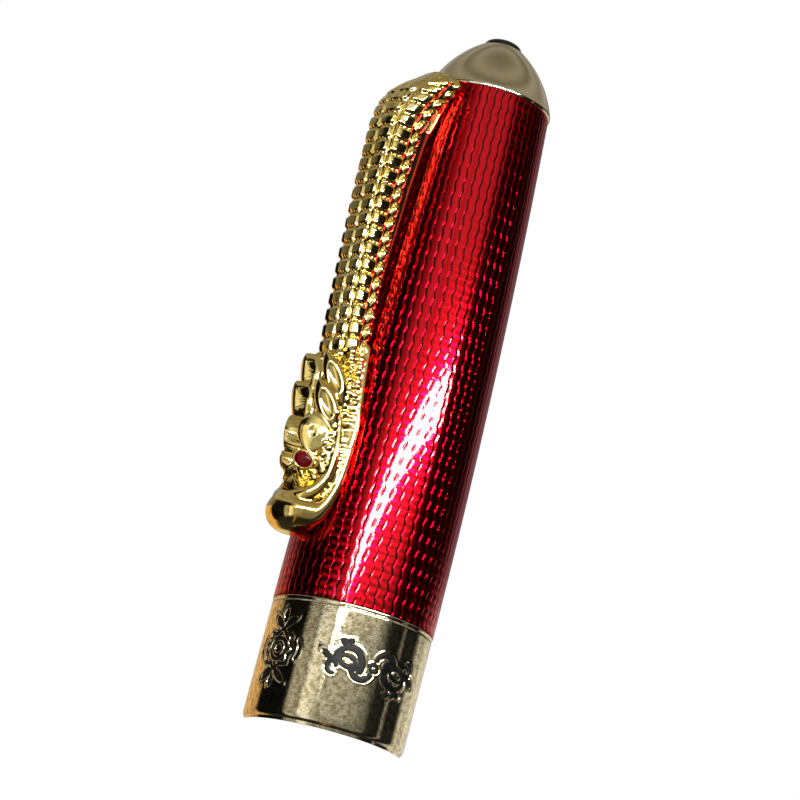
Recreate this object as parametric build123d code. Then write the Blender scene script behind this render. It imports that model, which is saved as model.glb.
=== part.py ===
from build123d import *
import os
from math import cos, degrees, pi, radians, sin

# Cap of a fountain pen: a lacquered, tapered brass tube with a gilt mouth band, a domed finial and a
# cast reptile for a pocket clip. Millimetres. The origin is the centre of the open mouth, +Z runs up
# the cap to the finial, and the clip hangs on the -Y side.

# Mouth band
BAND_RADIUS = 7.35
BAND_TOP = 11.35
LIP_HEIGHT = 1.0
LIP_RADIUS = 6.85
BAND_BORE = 6.75
ENGRAVING_DEPTH = 0.18
MOTIF_HEIGHT = 6.1
ROSETTE_TURN = 6.0
SCROLL_PITCH = 76.0

# Barrel: one long arc, given by its radius over the lacquer at the band, half way up and at the finial
BARREL_TOP = 61.17
BARREL_FOOT_RADIUS = 7.40
BARREL_WAIST_RADIUS = 6.98
BARREL_HEAD_RADIUS = 5.80
LACQUER = 0.25
TUBE_MOUTH_BORE = 6.20
TUBE_MOUTH_DEPTH = 24.0
TUBE_SHOULDER = 54.2
TUBE_SHOULDER_RADIUS = 5.30
TUBE_NECK_BORE = 4.95
SLOT_WIDTH = 2.5
SLOT_BOTTOM = 58.5

# Lining
BUSHING_BORE = 5.75
BUSHING_TOP = 13.9
SNAP_RING_HEIGHT = 9.9
SNAP_WIRE = 0.20
SNAP_GRIP = 0.13
INNER_CAP_RADIUS = 5.10
INNER_CAP_BORE = 4.60
INNER_CAP_ROOF = 1.5

# Finial and the stud that clamps everything
FINIAL_RADIUS = 5.92
FINIAL_HEIGHT = 5.78
FINIAL_SHOULDER = (4.73, 64.06)
FINIAL_LAND_RADIUS = 2.0
JEWEL_RADIUS = 1.75
JEWEL_SEAT = 0.6
JEWEL_DOME = 0.75
STUD_RADIUS = 1.5
STUD_BOTTOM = 49.6
STUD_TOP = 64.6
NUT_ACROSS_FLATS = 5.0
NUT_HEIGHT = 1.8
WASHER_THICKNESS = 0.4

# Clip hinge, inside the neck of the tube
PIVOT_Y = -3.9
PIVOT_Z = 59.9
PIN_RADIUS = 0.40
PIN_LENGTH = 4.6
PIN_RUNNING_GAP = 0.03
KNUCKLE_RADIUS = 0.85
TANG_WIDTH = 2.0
SPRING_Y = -2.8
SPRING_RADIUS = 0.55
SPRING_WIRE = 0.16
SPRING_TURNS = 6
SPRING_FOOT = 55.6

# Clip casting: (height, half width, distance of the ellipse's centre from the axis, crest distance)
CLIP_SECTIONS = (
    (16.2, 1.2, 8.7, 9.5),
    (16.8, 2.2, 8.6, 10.6),
    (18.3, 2.9, 8.3, 11.2),
    (20.0, 3.0, 7.8, 10.5),
    (21.6, 3.2, 7.3, 9.8),
    (24.5, 3.5, 7.1, 10.2),
    (28.0, 3.4, 7.1, 11.0),
    (31.0, 3.2, 7.0, 10.8),
    (33.8, 2.8, 7.0, 9.85),
    (38.0, 2.6, 7.0, 10.3),
    (44.0, 2.3, 7.0, 10.8),
    (50.0, 2.1, 6.9, 11.1),
    (55.5, 2.2, 6.4, 11.15),
    (57.6, 2.5, 6.0, 10.8),
    (59.1, 2.9, 5.6, 10.1),
    (60.3, 3.3, 5.3, 8.9),
    (61.2, 3.4, 5.2, 7.6),
    (61.9, 2.6, 5.4, 6.6),
)
BARREL_GAP = 0.35
BROW_HEIGHT = 24.9
BROW_STANDOFF = 10.05
BROW_HALF_SPACING = 1.95
BROW_RADIUS = 1.2
EYE_HEIGHT = 22.95
EYE_STANDOFF = 9.95
EYE_HALF_SPACING = 2.1
EYE_RADIUS = 0.8
SIDES = {"left": -1, "right": 1}


def barrel_side(inset):
    """The barrel's side as an arc in the XZ plane, moved in by inset."""
    foot = (BARREL_FOOT_RADIUS - inset, BAND_TOP)
    waist = (BARREL_WAIST_RADIUS - inset, (BAND_TOP + BARREL_TOP) / 2)
    head = (BARREL_HEAD_RADIUS - inset, BARREL_TOP)
    return ThreePointArc(foot, waist, head)


def turned(outline):
    """The solid of revolution of an outline drawn as lines in the XZ plane."""
    return revolve(make_face(outline), Axis.Z)


def turned_polygon(points):
    return turned(Plane.XZ * Polyline(*points, close=True))


def barrel_solid(inset):
    """The barrel's shape from the axis out to its side, less inset."""
    side = barrel_side(inset)
    ends = Polyline(side @ 1, (0, BARREL_TOP), (0, BAND_TOP), side @ 0)
    return turned(Plane.XZ * (side + ends))


def around(shape, degrees_from_clip):
    return Rot(0, 0, degrees_from_clip) * shape


def box_between(low, high):
    size = [b - a for a, b in zip(low, high)]
    middle = [(a + b) / 2 for a, b in zip(low, high)]
    return Pos(*middle) * Box(*size)


def rod(x, y, low_z, high_z, radius):
    return Pos(x, y, (low_z + high_z) / 2) * Cylinder(radius, high_z - low_z)


def cross_rod(y, z, length, radius):
    return Pos(0, y, z) * Rot(0, 90, 0) * Cylinder(radius, length)


# ---- mouth band and its engraving ----

def disc(across, up, radius):
    """A short rod through the band's wall, placed on the face of a motif centred on the clip side."""
    turn = degrees(across / BAND_RADIUS)
    upright = Pos(0, -BAND_RADIUS, MOTIF_HEIGHT + up) * Rot(90, 0, 0) * Cylinder(radius, 2)
    return around(upright, turn)


def rosette():
    """A flower: an eye, a ring of six petals round it, and a leaf above and below."""
    petal_reach = 1.15
    leaf_reach = 2.75
    shape = disc(0, 0, 0.45)
    for i in range(6):
        angle = 2 * pi * i / 6
        shape += disc(petal_reach * cos(angle), petal_reach * sin(angle), 0.62)
    shape += disc(0, leaf_reach, 0.55)
    shape += disc(0, -leaf_reach, 0.55)
    return shape


def curl(across, up, start, turn, reach, beads=9):
    """A run of overlapping beads that closes into a spiral and grows thinner to its tip."""
    shape = None
    for i in range(beads):
        t = i / (beads - 1)
        angle = radians(start + turn * t)
        radius = reach * (1 - 0.55 * t)
        bead = disc(across + radius * cos(angle), up + radius * sin(angle), 0.42 - 0.16 * t)
        shape = bead if shape is None else shape + bead
    return shape


def scroll():
    """Two mirrored C-scrolls joined by a knot at the middle."""
    shape = disc(0, 0, 0.7)
    for side in (-1, 1):
        shape += curl(side * 1.75, 0.35, 90 - side * 90, side * 250, 1.15)
        shape += curl(side * 3.35, -0.45, 90 - side * 90, -side * 230, 0.85)
    return shape


def engraving_layer():
    return turned_polygon([
        (BAND_RADIUS - ENGRAVING_DEPTH, LIP_HEIGHT),
        (BAND_RADIUS + 0.5, LIP_HEIGHT),
        (BAND_RADIUS + 0.5, BAND_TOP),
        (BAND_RADIUS - ENGRAVING_DEPTH, BAND_TOP),
    ])


def motifs():
    """The four engraved ornaments, each where it stands round the band."""
    layer = engraving_layer()
    flower = rosette() & layer
    swirl = scroll() & layer
    return {
        "inlay_rosette_front": around(flower, ROSETTE_TURN),
        "inlay_rosette_back": around(flower, ROSETTE_TURN + 180),
        "inlay_scroll_right": around(swirl, ROSETTE_TURN + SCROLL_PITCH),
        "inlay_scroll_left": around(swirl, ROSETTE_TURN - SCROLL_PITCH),
    }


def band_blank():
    bevel = 0.15
    lip = TangentArc((BAND_RADIUS, LIP_HEIGHT), (LIP_RADIUS, 0), tangent=(0, -1))
    rest = Polyline(
        (BAND_RADIUS, LIP_HEIGHT),
        (BAND_RADIUS, BAND_TOP - bevel),
        (BAND_RADIUS - bevel, BAND_TOP),
        (BAND_BORE, BAND_TOP),
        (BAND_BORE, LIP_HEIGHT),
        (TUBE_MOUTH_BORE, LIP_HEIGHT),
        (TUBE_MOUTH_BORE, 0),
        (LIP_RADIUS, 0),
    )
    return turned(Plane.XZ * (lip + rest))


def inlay(motif):
    """Enamel fill, a little below the gilt surface."""
    fill_radius = BAND_RADIUS - 0.05
    return motif & Pos(0, 0, BAND_TOP / 2) * Cylinder(fill_radius, BAND_TOP)


# ---- barrel ----

def slot():
    half = SLOT_WIDTH / 2
    return box_between((-half, -9, SLOT_BOTTOM), (half, -TUBE_NECK_BORE + 1, BARREL_TOP + 1))


def cap_tube():
    bore = turned_polygon([
        (0, LIP_HEIGHT - 1),
        (TUBE_MOUTH_BORE, LIP_HEIGHT - 1),
        (TUBE_MOUTH_BORE, TUBE_MOUTH_DEPTH),
        (TUBE_SHOULDER_RADIUS, TUBE_SHOULDER),
        (TUBE_NECK_BORE, TUBE_SHOULDER),
        (TUBE_NECK_BORE, BARREL_TOP + 1),
        (0, BARREL_TOP + 1),
    ])
    skirt = rod(0, 0, LIP_HEIGHT, BAND_TOP, BAND_BORE)
    return barrel_solid(LACQUER) + skirt - bore - slot()


def lacquer_coat():
    core = barrel_solid(LACQUER)
    return barrel_solid(0) - core - slot()


# ---- lining ----

def mouth_bushing():
    """Plastic sleeve that guides the pen's barrel, with a groove for the snap ring."""
    groove_half = 0.45
    body = rod(0, 0, 0, BUSHING_TOP, TUBE_MOUTH_BORE)
    hole = rod(0, 0, -1, BUSHING_TOP + 1, BUSHING_BORE)
    groove = rod(0, 0, SNAP_RING_HEIGHT - groove_half, SNAP_RING_HEIGHT + groove_half, BUSHING_BORE + 0.3)
    return body - hole - groove


def snap_ring():
    """An open wire ring that stands a little into the bore and grips the pen's barrel."""
    opening = 24
    radius = BUSHING_BORE - SNAP_GRIP + SNAP_WIRE
    path = Pos(0, 0, SNAP_RING_HEIGHT) * CenterArc((0, 0), radius, 90 + opening / 2, 360 - opening)
    wire = Plane(origin=path @ 0, z_dir=path % 0) * Circle(SNAP_WIRE)
    return sweep(wire, path)


def inner_cap():
    flange_height = 1.5
    flange = rod(0, 0, BUSHING_TOP, BUSHING_TOP + flange_height, TUBE_MOUTH_BORE)
    cup = rod(0, 0, BUSHING_TOP, TUBE_SHOULDER, INNER_CAP_RADIUS)
    hollow = rod(0, 0, BUSHING_TOP - 1, TUBE_SHOULDER - INNER_CAP_ROOF, INNER_CAP_BORE)
    stud_hole = rod(0, 0, TUBE_SHOULDER - 3, TUBE_SHOULDER + 1, STUD_RADIUS)
    return flange + cup - hollow - stud_hole


def lock_washer():
    top = TUBE_SHOULDER - INNER_CAP_ROOF
    ring = rod(0, 0, top - WASHER_THICKNESS, top, 3.2)
    return ring - rod(0, 0, top - 1, top + 1, STUD_RADIUS)


def stud_nut():
    top = TUBE_SHOULDER - INNER_CAP_ROOF - WASHER_THICKNESS
    hexagon = Pos(0, 0, top - NUT_HEIGHT) * RegularPolygon(NUT_ACROSS_FLATS / 2, 6, major_radius=False)
    return extrude(hexagon, NUT_HEIGHT) - rod(0, 0, top - 3, top + 1, STUD_RADIUS)


def finial_stud():
    shaft = rod(0, 0, STUD_BOTTOM, STUD_TOP, STUD_RADIUS)
    return chamfer(shaft.edges().filter_by(GeomType.CIRCLE), 0.25)


# ---- finial ----

def finial():
    """An ogive dome with a small bevel at its foot and a flat land round the jewel."""
    foot_bevel = 0.12
    top = BARREL_TOP + FINIAL_HEIGHT
    foot_height = BARREL_TOP + 0.3
    side = ThreePointArc((FINIAL_RADIUS, foot_height), FINIAL_SHOULDER, (FINIAL_LAND_RADIUS, top))
    rest = Polyline(
        (FINIAL_LAND_RADIUS, top),
        (0, top),
        (0, BARREL_TOP),
        (FINIAL_RADIUS - foot_bevel, BARREL_TOP),
        (FINIAL_RADIUS, BARREL_TOP + foot_bevel),
        (FINIAL_RADIUS, foot_height),
    )
    dome = turned(Plane.XZ * (side + rest))
    seat = rod(0, 0, top - JEWEL_SEAT, top + 1, JEWEL_RADIUS)
    stud_hole = rod(0, 0, BARREL_TOP - 1, STUD_TOP, STUD_RADIUS)
    return dome - seat - stud_hole


def finial_jewel():
    """A round black cabochon: a short girdle under a low dome."""
    top = BARREL_TOP + FINIAL_HEIGHT
    dome_radius = (JEWEL_RADIUS ** 2 + JEWEL_DOME ** 2) / (2 * JEWEL_DOME)
    ball = Pos(0, 0, top + JEWEL_DOME - dome_radius) * Sphere(dome_radius)
    return ball & rod(0, 0, top - JEWEL_SEAT, top + JEWEL_DOME, JEWEL_RADIUS)


# ---- clip and its hinge ----

def neck_plug():
    """Brass plug in the neck of the tube: it holds the stud, the hinge pin and the spring."""
    gap = 0.07
    half = SLOT_WIDTH / 2
    plug = rod(0, 0, TUBE_SHOULDER, BARREL_TOP - gap, TUBE_NECK_BORE)
    stud_hole = rod(0, 0, TUBE_SHOULDER - 1, BARREL_TOP + 1, STUD_RADIUS)
    tang_slot = box_between((-half, -9, SLOT_BOTTOM), (half, -2.0, BARREL_TOP + 1))
    pocket = rod(0, SPRING_Y, SPRING_FOOT - SPRING_WIRE, SLOT_BOTTOM + 1, 0.75)
    return plug - stud_hole - tang_slot - pocket - cross_rod(PIVOT_Y, PIVOT_Z, 12, PIN_RADIUS)


def clip_pivot_pin():
    return cross_rod(PIVOT_Y, PIVOT_Z, PIN_LENGTH, PIN_RADIUS)


def clip_spring():
    """Compression spring under the tang's heel."""
    heel_underside = PIVOT_Z - 0.55
    height = heel_underside - SPRING_FOOT - SPRING_WIRE
    path = Pos(0, SPRING_Y, SPRING_FOOT) * Helix(height / SPRING_TURNS, height, SPRING_RADIUS)
    wire = Plane(origin=path @ 0, z_dir=path % 0) * Circle(SPRING_WIRE)
    return sweep(wire, path, is_frenet=True)


def clip_run():
    """A smooth run of elliptical sections, one over the other, from the chin up to the shoulder."""
    faces = []
    for height, half_width, centre, crest in CLIP_SECTIONS:
        faces.append(Plane((0, -centre, height)) * Ellipse(half_width, crest - centre))
    return loft(faces, ruled=True)


def tang():
    """The arm through the slot, the knuckle on the pin and the heel on the spring."""
    arm = box_between((-TANG_WIDTH / 2, -7.2, PIVOT_Z - 0.7), (TANG_WIDTH / 2, PIVOT_Y, PIVOT_Z + 0.7))
    heel = box_between((-TANG_WIDTH / 2, PIVOT_Y, PIVOT_Z - 0.55), (TANG_WIDTH / 2, -2.3, PIVOT_Z + 0.3))
    knuckle = cross_rod(PIVOT_Y, PIVOT_Z, TANG_WIDTH, KNUCKLE_RADIUS)
    return arm + heel + knuckle - cross_rod(PIVOT_Y, PIVOT_Z, 12, PIN_RADIUS + PIN_RUNNING_GAP)


def finial_clearance():
    """The space that the finial's foot and the barrel need while the clip swings."""
    finial_foot = rod(0, 0, BARREL_TOP - 0.35, BARREL_TOP + 6, FINIAL_RADIUS + BARREL_GAP)
    return barrel_solid(-BARREL_GAP) + finial_foot


def eye(side):
    return Pos(side * EYE_HALF_SPACING, -EYE_STANDOFF, EYE_HEIGHT) * Sphere(EYE_RADIUS)


def brow(side):
    return Pos(side * BROW_HALF_SPACING, -BROW_STANDOFF, BROW_HEIGHT) * Sphere(BROW_RADIUS)


def clip_casting():
    """The reptile: a long scaled body from the shoulder down, and a head with brows and a blunt snout."""
    casting = clip_run()
    for side in SIDES.values():
        casting += brow(side)
        casting -= eye(side)
    return casting - finial_clearance() + tang()


def build():
    ornaments = motifs()
    band = band_blank()
    for motif in ornaments.values():
        band -= motif
    parts = {
        "mouth_band": band,
        "cap_tube": cap_tube(),
        "lacquer_coat": lacquer_coat(),
        "mouth_bushing": mouth_bushing(),
        "snap_ring": snap_ring(),
        "inner_cap": inner_cap(),
        "lock_washer": lock_washer(),
        "stud_nut": stud_nut(),
        "finial_stud": finial_stud(),
        "finial": finial(),
        "finial_jewel": finial_jewel(),
        "neck_plug": neck_plug(),
        "clip_pivot_pin": clip_pivot_pin(),
        "clip_spring": clip_spring(),
        "clip_casting": clip_casting(),
    }
    for name, motif in ornaments.items():
        parts[name] = inlay(motif)
    for name, side in SIDES.items():
        parts["clip_eye_" + name] = eye(side)
    return parts


os.makedirs("parts", exist_ok=True)
for node, shape in build().items():
    export_step(shape, f"parts/{node}.step")
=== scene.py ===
"""A pen cap with a cast reptile clip: its looks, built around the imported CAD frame.

The frame has its origin at the middle of the open mouth, +Z towards the finial and the clip on -Y.
Shapes are worked out in millimetres, with "out" for the distance from the axis towards -Y, and
new_mesh() scales them to metres. Angles round the axis start at the clip and grow towards +X.
"""
import math

import bpy
import numpy as np
from mathutils import Matrix, Vector


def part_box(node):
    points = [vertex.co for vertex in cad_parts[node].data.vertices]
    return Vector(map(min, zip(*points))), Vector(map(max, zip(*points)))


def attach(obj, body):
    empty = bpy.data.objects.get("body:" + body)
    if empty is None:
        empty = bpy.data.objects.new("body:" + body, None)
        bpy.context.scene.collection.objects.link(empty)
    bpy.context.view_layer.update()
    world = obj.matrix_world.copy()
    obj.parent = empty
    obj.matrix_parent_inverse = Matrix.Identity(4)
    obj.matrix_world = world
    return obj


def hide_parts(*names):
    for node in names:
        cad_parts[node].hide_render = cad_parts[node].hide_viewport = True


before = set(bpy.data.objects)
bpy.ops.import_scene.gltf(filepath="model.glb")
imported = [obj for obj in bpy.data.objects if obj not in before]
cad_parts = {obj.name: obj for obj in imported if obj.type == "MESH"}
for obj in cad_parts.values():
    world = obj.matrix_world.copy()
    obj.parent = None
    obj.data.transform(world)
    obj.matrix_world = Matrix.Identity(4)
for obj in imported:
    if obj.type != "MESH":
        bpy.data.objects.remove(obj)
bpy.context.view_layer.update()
MM = 0.001


def node_span(name):
    """Largest radius, lowest z and highest z of a CAD node, in millimetres."""
    low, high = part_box(name)
    return max(high.x, -low.x) / MM, low.z / MM, high.z / MM


BAND_RADIUS, _, BAND_TOP = node_span("mouth_band")
BARREL_BASE_RADIUS, BARREL_BOTTOM, BARREL_TOP = node_span("lacquer_coat")
FINIAL_RADIUS, FINIAL_BOTTOM, FINIAL_TOP = node_span("finial")
JEWEL_RADIUS, JEWEL_BOTTOM, JEWEL_TOP = node_span("finial_jewel")
BARREL_MIDDLE_RADIUS = 6.98
BARREL_TOP_RADIUS = 5.80
LACQUER = 0.25
SLOT_HALF_WIDTH = 1.25
SLOT_BOTTOM = 58.5


# ---------- meshes

def new_object(name, data):
    """An object in the scene with that mesh, light or camera."""
    made = bpy.data.objects.new(name, data)
    bpy.context.scene.collection.objects.link(made)
    return made


def new_mesh(name, points, faces, material, body="cap", sharp_angle=35):
    """A smooth-shaded mesh object from points in millimetres, riding on a CAD body."""
    mesh = bpy.data.meshes.new(name)
    mesh.from_pydata((np.asarray(points, float) * MM).tolist(), [], faces)
    mesh.validate()
    mesh.polygons.foreach_set("use_smooth", [True] * len(mesh.polygons))
    mesh.set_sharp_from_angle(angle=math.radians(sharp_angle))
    mesh.materials.append(material)
    piece = new_object(name, mesh)
    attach(piece, body)
    return piece


def around(angle, radius, height):
    """Points at an angle from the clip side towards +X, as an array of x, y, z."""
    parts = np.broadcast_arrays(radius * np.sin(angle), -radius * np.cos(angle), height)
    return np.stack(parts, axis=-1)


def grid_faces(rows, columns, wrap_columns=True, wrap_rows=False, keep=None):
    """Quads of a grid of rows x columns points. keep is a mask of the cells to use."""
    last_row = rows if wrap_rows else rows - 1
    last_column = columns if wrap_columns else columns - 1
    faces = []
    for i in range(last_row):
        below = i * columns
        above = (i + 1) % rows * columns
        for j in range(last_column):
            if keep is None or keep[i, j]:
                k = (j + 1) % columns
                faces.append((below + j, below + k, above + k, above + j))
    return faces


def end_fans(rows, columns):
    """Triangles from a closed grid's first and last rows to the two points that follow it."""
    first = rows * columns
    top = first - columns
    faces = []
    for j in range(columns):
        k = (j + 1) % columns
        faces.append((first, k, j))
        faces.append((first + 1, top + j, top + k))
    return faces


def turned(name, profile, material, segments, sharp_angle=35):
    """A solid of revolution from an open profile whose two ends lie on the axis."""
    inner = np.array(profile[1:-1])
    angle = np.linspace(0, 2 * math.pi, segments, endpoint=False)[None, :]
    side = around(angle, inner[:, :1], inner[:, 1:]).reshape(-1, 3)
    ends = [(0, 0, profile[0][1]), (0, 0, profile[-1][1])]
    faces = grid_faces(len(inner), segments) + end_fans(len(inner), segments)
    return new_mesh(name, np.concatenate([side, ends]), faces, material, sharp_angle=sharp_angle)


def arc_through(a, b, c, count):
    """count points on the circular arc from a through b to c, in a plane."""
    (ax, ay), (bx, by), (cx, cy) = a, b, c
    d = 2 * (ax * (by - cy) + bx * (cy - ay) + cx * (ay - by))
    a2, b2, c2 = ax * ax + ay * ay, bx * bx + by * by, cx * cx + cy * cy
    ux = (a2 * (by - cy) + b2 * (cy - ay) + c2 * (ay - by)) / d
    uy = (a2 * (cx - bx) + b2 * (ax - cx) + c2 * (bx - ax)) / d
    start = math.atan2(ay - uy, ax - ux)
    end = math.atan2(cy - uy, cx - ux)
    turn = (end - start + math.pi) % (2 * math.pi) - math.pi
    radius = math.hypot(ax - ux, ay - uy)
    steps = np.linspace(start, start + turn, count)
    return [(ux + radius * math.cos(t), uy + radius * math.sin(t)) for t in steps]


# the barrel's side, from the band to the finial, as (radius, z) points on one arc
BARREL_SIDE = np.array(arc_through(
    (BARREL_BASE_RADIUS, BARREL_BOTTOM), (BARREL_MIDDLE_RADIUS, (BARREL_BOTTOM + BARREL_TOP) / 2),
    (BARREL_TOP_RADIUS, BARREL_TOP), 200))


def barrel_radius(height):
    """Radius of the lacquered barrel at a height."""
    return np.interp(height, BARREL_SIDE[:, 1], BARREL_SIDE[:, 0])


def smoothstep(low, high, value):
    """0 below low, 1 above high, and a smooth climb between them."""
    t = np.clip((value - low) / (high - low), 0, 1)
    return t * t * (3 - 2 * t)


# ---------- material nodes

def add_node(tree, kind, inputs=None, **settings):
    """A node with its settings and its inputs, which are values or other nodes' sockets."""
    made = tree.nodes.new(kind)
    for name, value in settings.items():
        setattr(made, name, value)
    for name, value in (inputs or {}).items():
        if isinstance(value, bpy.types.NodeSocket):
            tree.links.new(value, made.inputs[name])
        else:
            made.inputs[name].default_value = value
    return made


def new_material(name, values):
    """A material whose Principled shader has those values. Returns material, tree and shader."""
    material = bpy.data.materials.new(name)
    material.use_nodes = True
    tree = material.node_tree
    shader = tree.nodes["Principled BSDF"]
    for socket, value in values.items():
        shader.inputs[socket].default_value = value
    return material, tree, shader


def math_node(tree, operation, first, second=0.0, third=0.0):
    """The output of a Math node."""
    made = add_node(tree, "ShaderNodeMath", {0: first, 1: second, 2: third}, operation=operation)
    return made.outputs[0]


def ramp(tree, factor, stops, smooth=True):
    """A colour ramp's colour output. stops are (position, colour) pairs."""
    made = add_node(tree, "ShaderNodeValToRGB", {"Fac": factor})
    made.color_ramp.interpolation = "EASE" if smooth else "LINEAR"
    while len(made.color_ramp.elements) < len(stops):
        made.color_ramp.elements.new(0.5)
    for element, (position, colour) in zip(made.color_ramp.elements, stops):
        element.position = position
        element.color = (*colour, 1)
    return made.outputs["Color"]


def noise(tree, scale, detail=4.0, roughness=0.55, stretch=None):
    """Noise in object coordinates. scale is in features per metre."""
    place = add_node(tree, "ShaderNodeTexCoord").outputs["Object"]
    if stretch:
        place = add_node(tree, "ShaderNodeMapping", {"Vector": place, "Scale": stretch}).outputs[0]
    inputs = {"Vector": place, "Scale": scale, "Detail": detail, "Roughness": roughness}
    return add_node(tree, "ShaderNodeTexNoise", inputs).outputs["Fac"]


def grey_range(tree, factor, low, high):
    """factor's 0.3 to 0.7 mapped to the range low to high."""
    inputs = {"Value": factor, "From Min": 0.3, "From Max": 0.7, "To Min": low, "To Max": high}
    return add_node(tree, "ShaderNodeMapRange", inputs).outputs["Result"]


def bump(tree, height, distance):
    """A bump's normal output. distance is in metres."""
    inputs = {"Height": height, "Distance": distance, "Strength": 1.0}
    return add_node(tree, "ShaderNodeBump", inputs).outputs["Normal"]


def angle_and_height(tree, place):
    """Angle round the axis, from the clip side towards +X, and height, of a place or direction."""
    parts = add_node(tree, "ShaderNodeSeparateXYZ", {"Vector": place}).outputs
    backwards = math_node(tree, "MULTIPLY", parts["Y"], -1.0)
    return math_node(tree, "ARCTAN2", parts["X"], backwards), parts["Z"]


def link(tree, output, socket):
    """Joins a node's output to a shader's socket."""
    tree.links.new(output, socket)


def dress(tree, shader, colour, roughness, relief):
    """Drives a shader from patterns: colour is (pattern, stops), roughness is (pattern, low,
    high) and relief is (height, metres)."""
    link(tree, ramp(tree, *colour), shader.inputs["Base Color"])
    link(tree, grey_range(tree, *roughness), shader.inputs["Roughness"])
    link(tree, bump(tree, *relief), shader.inputs["Normal"])


# ---------- materials

def plated_gold(name, light, deep, roughness, pit_size, pit_depth, mottle=260):
    """Polished gold plate: mottled colour, fine polishing marks and small casting pits."""
    material, tree, shader = new_material(name, {"Metallic": 1.0})
    drift = noise(tree, mottle, 6, 0.68)
    marks = noise(tree, 2600, 5, 0.6, (1, 1, 0.25))
    pits = noise(tree, 1 / (pit_size * MM), 3, 0.5)
    stops = [(0.38, deep), (0.58, light)]
    rough = (marks, roughness * 0.6, roughness * 1.5)
    dress(tree, shader, (drift, stops), rough, (pits, pit_depth * MM))
    return material


def guilloche_height(tree):
    """The engine turning under the lacquer: its long wavy flutes alone, and its whole height,
    which has small crests between the flutes."""
    angle, rise = angle_and_height(tree, add_node(tree, "ShaderNodeTexCoord").outputs["Object"])
    height = math_node(tree, "MULTIPLY", rise, 2 * math.pi / (WAVE_LENGTH * MM))
    swing = math_node(tree, "MULTIPLY", math_node(tree, "SINE", height), WAVE_SWING)
    phase = math_node(tree, "MULTIPLY_ADD", angle, FLUTES, swing)
    half = math_node(tree, "MULTIPLY", phase, 0.5)
    ridge = math_node(tree, "ABSOLUTE", math_node(tree, "SINE", half))
    inputs = {"Value": ridge, "From Min": FLUTE_FLOOR, "From Max": FLUTE_EDGE}
    flute = add_node(tree, "ShaderNodeMapRange", inputs, interpolation_type="SMOOTHSTEP").outputs[0]
    beads = math_node(tree, "COSINE", math_node(tree, "MULTIPLY", height, 2.0))
    crests = math_node(tree, "MULTIPLY", beads, 0.08)
    return flute, math_node(tree, "MULTIPLY_ADD", crests, ridge, flute)


def red_lacquer():
    """Clear red enamel over engine-turned metal, with a darker base colour in the flutes."""
    values = {"Metallic": 1.0, "Coat Weight": 1.0, "Coat Roughness": 0.03, "Coat IOR": 1.25,
              "Coat Tint": (1.0, 0.3, 0.4, 1.0)}
    material, tree, shader = new_material("red_lacquer", values)
    flute, height = guilloche_height(tree)
    stops = [(0.0, (0.10, 0.0, 0.004)), (0.35, (0.20, 0.0, 0.006)), (0.80, (0.60, 0.0, 0.014))]
    grain = noise(tree, 5200, 4)
    grained = math_node(tree, "MULTIPLY_ADD", grain, 0.05, height)
    dress(tree, shader, (flute, stops), (grain, 0.07, 0.13), (grained, 0.03 * MM))
    settle = math_node(tree, "MULTIPLY_ADD", noise(tree, 900, 3), 0.5, flute)
    link(tree, bump(tree, settle, 0.006 * MM), shader.inputs["Coat Normal"])
    return material


def black_enamel(name, roughness, colour, gloss):
    """Black glass enamel or stone with a faint cloud and small surface ripples."""
    material, tree, shader = new_material(name, {"Specular IOR Level": gloss})
    clouds = noise(tree, 900, 4)
    lighter = tuple(c * 2.2 + 0.004 for c in colour)
    stops = [(0.35, colour), (0.75, lighter)]
    ripples = noise(tree, 2400, 3)
    dress(tree, shader, (clouds, stops), (clouds, roughness, roughness * 2), (ripples, 0.01 * MM))
    return material


def red_glass():
    """The eyes: deep red paste stones, faintly clouded."""
    values = {"Specular IOR Level": 0.2, "Coat Weight": 0.1, "Coat Roughness": 0.03}
    material, tree, shader = new_material("eye_red_glass", values)
    clouds = noise(tree, 1500, 3)
    stops = [(0.35, (0.10, 0.0, 0.002)), (0.7, (0.24, 0.001, 0.005))]
    ripples = noise(tree, 3000, 2)
    dress(tree, shader, (clouds, stops), (clouds, 0.08, 0.2), (ripples, 0.008 * MM))
    return material


def turned_metal(name, light, dark, roughness):
    """Machined metal with fine rings from the lathe and a little tarnish."""
    material, tree, shader = new_material(name, {"Metallic": 1.0})
    tarnish = noise(tree, 350, 5)
    stops = [(0.35, light), (0.75, dark)]
    rings = noise(tree, 500, 4, 0.6, (1, 1, 14))
    dress(tree, shader, (tarnish, stops), (rings, roughness, roughness * 1.8), (rings, 0.012 * MM))
    return material


def moulded_plastic():
    """Black moulded plastic with a fine spark-eroded grain."""
    material, tree, shader = new_material("moulded_plastic", {})
    grain = noise(tree, 7000, 3)
    stops = [(0.3, (0.010, 0.010, 0.011)), (0.7, (0.026, 0.025, 0.026))]
    dress(tree, shader, (grain, stops), (grain, 0.38, 0.55), (grain, 0.01 * MM))
    return material


# ---------- barrel

FLUTES = 52
WAVE_LENGTH = 1.5
WAVE_SWING = 0.48
FLUTE_SINK = 0.02
FLUTE_FLOOR = 0.02
FLUTE_EDGE = 0.45
STEPS_PER_FLUTE = 8
STEPS_PER_WAVE = 8


def flute_height(angle, height):
    """0 in the wavy flutes and 1 between them: the same pattern as the lacquer's nodes."""
    phase = FLUTES * angle + WAVE_SWING * np.sin(2 * math.pi * height / WAVE_LENGTH)
    return smoothstep(FLUTE_FLOOR, FLUTE_EDGE, np.abs(np.sin(phase / 2)))


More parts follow.
